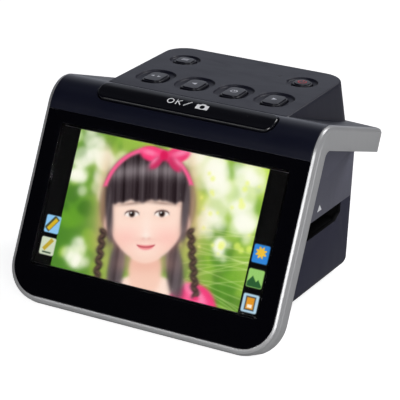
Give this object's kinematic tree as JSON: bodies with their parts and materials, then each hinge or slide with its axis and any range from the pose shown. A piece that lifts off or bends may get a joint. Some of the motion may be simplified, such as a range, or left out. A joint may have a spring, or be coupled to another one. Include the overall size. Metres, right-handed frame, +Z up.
{
  "type": "film negative scanner",
  "caption": "Desktop film scanner: leaning wide screen that bends back into a visor, film passage through the body, key deck on top, press bar across the bend.",
  "frame": {"origin": "on the table, under the centre of the whole object's box", "axes": "+X to the right as the user faces the screen, +Y from the screen to the back, +Z up"},
  "size_m": [0.1332, 0.1214, 0.0964],
  "materials": {
    "trim_frame": "satin silver paint on plastic",
    "front_panel": "gloss black",
    "screen_window": "clear gloss",
    "lcd_panel": "dark display glass",
    "lcd_frame": "bare sheet",
    "circuit_board": "solder mask",
    "head_back_cover": "fine texture",
    "top_cover": "satin blue-black",
    "ok_bar": "satin blue-black",
    "switches": "bare moulding",
    "control_deck": "satin dark grey",
    "keys": "satin black",
    "led_light_pipe": "clear moulding",
    "upper_casing": "fine texture",
    "lower_casing": "fine texture",
    "film_track": "matt black",
    "backlight_housing": "matt white",
    "diffuser": "opal",
    "backlight_board": "white coated",
    "backlight_leds": "yellow phosphor",
    "sockets": "plated",
    "camera_housing": "matt black",
    "lens_barrel": "black anodised",
    "lens_elements": "coated",
    "image_sensor": "glossy",
    "rubber_feet": "matt",
    "screws": "plated"
  },
  "bodies": {
    "housing": {"trim_frame": "trim_frame", "front_panel": "front_panel", "screen_window": "screen_window", "lcd_panel": "lcd_panel", "lcd_frame": "lcd_frame", "display_board": "circuit_board", "head_back_cover": "head_back_cover", "top_cover": "top_cover", "shutter_board": "circuit_board", "shutter_switches": "switches", "control_deck": "control_deck", "led_light_pipe": "led_light_pipe", "key_board": "circuit_board", "key_switches": "switches", "upper_casing": "upper_casing", "lower_casing": "lower_casing", "film_track_lower": "film_track", "film_track_upper": "film_track", "backlight_housing": "backlight_housing", "diffuser": "diffuser", "backlight_board": "backlight_board", "backlight_leds": "backlight_leds", "main_board": "circuit_board", "usb_socket": "sockets", "video_socket": "sockets", "card_socket": "sockets", "camera_housing": "camera_housing", "lens_barrel": "lens_barrel", "lens_elements": "lens_elements", "sensor_board": "circuit_board", "image_sensor": "image_sensor", "rubber_feet": "rubber_feet", "case_screws": "screws", "head_screws": "screws", "board_screws": "screws"},
    "ok_bar": {"ok_bar": "ok_bar"},
    "front_key_1": {"front_key_1": "keys"},
    "front_key_2": {"front_key_2": "keys"},
    "front_key_3": {"front_key_3": "keys"},
    "front_key_4": {"front_key_4": "keys"},
    "rear_key": {"rear_key": "keys"},
    "power_key": {"power_key": "keys"}
  },
  "joints": [
    {"name": "ok_bar_press", "type": "slide", "parent": "housing", "child": "ok_bar", "axis": [0, 0.3907, -0.9205], "range_m": [0, 0.0008], "stiffness_N_per_m": 800, "springref_m": -0.0005},
    {"name": "front_key_1_press", "type": "slide", "parent": "housing", "child": "front_key_1", "axis": [0, 0.0349, -0.9994], "range_m": [0, 0.0008], "stiffness_N_per_m": 800, "springref_m": -0.0005},
    {"name": "front_key_2_press", "type": "slide", "parent": "housing", "child": "front_key_2", "axis": [0, 0.0349, -0.9994], "range_m": [0, 0.0008], "stiffness_N_per_m": 800, "springref_m": -0.0005},
    {"name": "front_key_3_press", "type": "slide", "parent": "housing", "child": "front_key_3", "axis": [0, 0.0349, -0.9994], "range_m": [0, 0.0008], "stiffness_N_per_m": 800, "springref_m": -0.0005},
    {"name": "front_key_4_press", "type": "slide", "parent": "housing", "child": "front_key_4", "axis": [0, 0.0349, -0.9994], "range_m": [0, 0.0008], "stiffness_N_per_m": 800, "springref_m": -0.0005},
    {"name": "rear_key_press", "type": "slide", "parent": "housing", "child": "rear_key", "axis": [0, 0.0349, -0.9994], "range_m": [0, 0.0008], "stiffness_N_per_m": 800, "springref_m": -0.0005},
    {"name": "power_key_press", "type": "slide", "parent": "housing", "child": "power_key", "axis": [0, 0.0349, -0.9994], "range_m": [0, 0.0008], "stiffness_N_per_m": 800, "springref_m": -0.0005}
  ]
}
